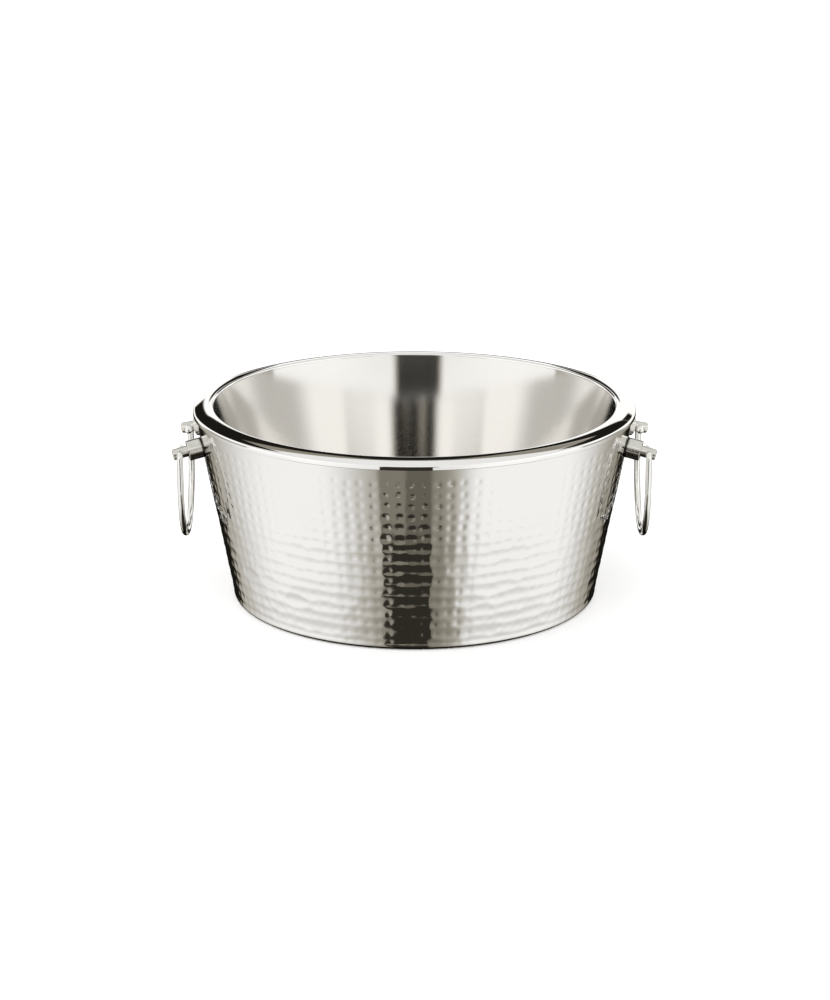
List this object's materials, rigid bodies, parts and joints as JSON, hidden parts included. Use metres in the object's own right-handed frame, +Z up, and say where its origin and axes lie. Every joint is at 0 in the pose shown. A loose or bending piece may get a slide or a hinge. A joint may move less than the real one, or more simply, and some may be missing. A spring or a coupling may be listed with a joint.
{
  "type": "double-walled beverage tub",
  "caption": "Wide round double-walled metal tub with a hammered polished outer wall, satin liner, broad polished rim and hinged ring handles on stepped posts.",
  "frame": {"origin": "centre of the resting face, on the table", "axes": "+Z up along the tub axis, +X through the right handle, -Y towards the viewer"},
  "size_m": [0.4226, 0.39, 0.174],
  "materials": {
    "hammered_wall": "mirror polished, hammered",
    "satin_base": "satin",
    "satin_liner": "fine circular satin",
    "polished_rim": "mirror polished",
    "satin_post": "turned satin",
    "fastener": "plain",
    "polished_ring": "polished"
  },
  "bodies": {
    "tub": {"outer_shell": "hammered_wall", "base_disc": "satin_base", "liner_bowl": "satin_liner", "rim_band": "polished_rim", "collar_left_front": "satin_post", "collar_left_back": "satin_post", "collar_right_front": "satin_post", "collar_right_back": "satin_post", "eye_post_left_front": "satin_post", "eye_post_left_back": "satin_post", "eye_post_right_front": "satin_post", "eye_post_right_back": "satin_post", "saddle_washers": "fastener", "post_nuts": "fastener"},
    "left_handle": {"ring_left": "polished_ring", "cap_left_front": "polished_ring", "cap_left_back": "polished_ring"},
    "right_handle": {"ring_right": "polished_ring", "cap_right_front": "polished_ring", "cap_right_back": "polished_ring"}
  },
  "joints": [
    {"name": "left_ring_hinge", "type": "hinge", "parent": "tub", "child": "left_handle", "pos_m": [-0.2034, 0, 0.1384], "axis": [0, 1, 0], "range_deg": [-19, 201]},
    {"name": "right_ring_hinge", "type": "hinge", "parent": "tub", "child": "right_handle", "pos_m": [0.2034, 0, 0.1384], "axis": [0, -1, 0], "range_deg": [-19, 201]}
  ]
}
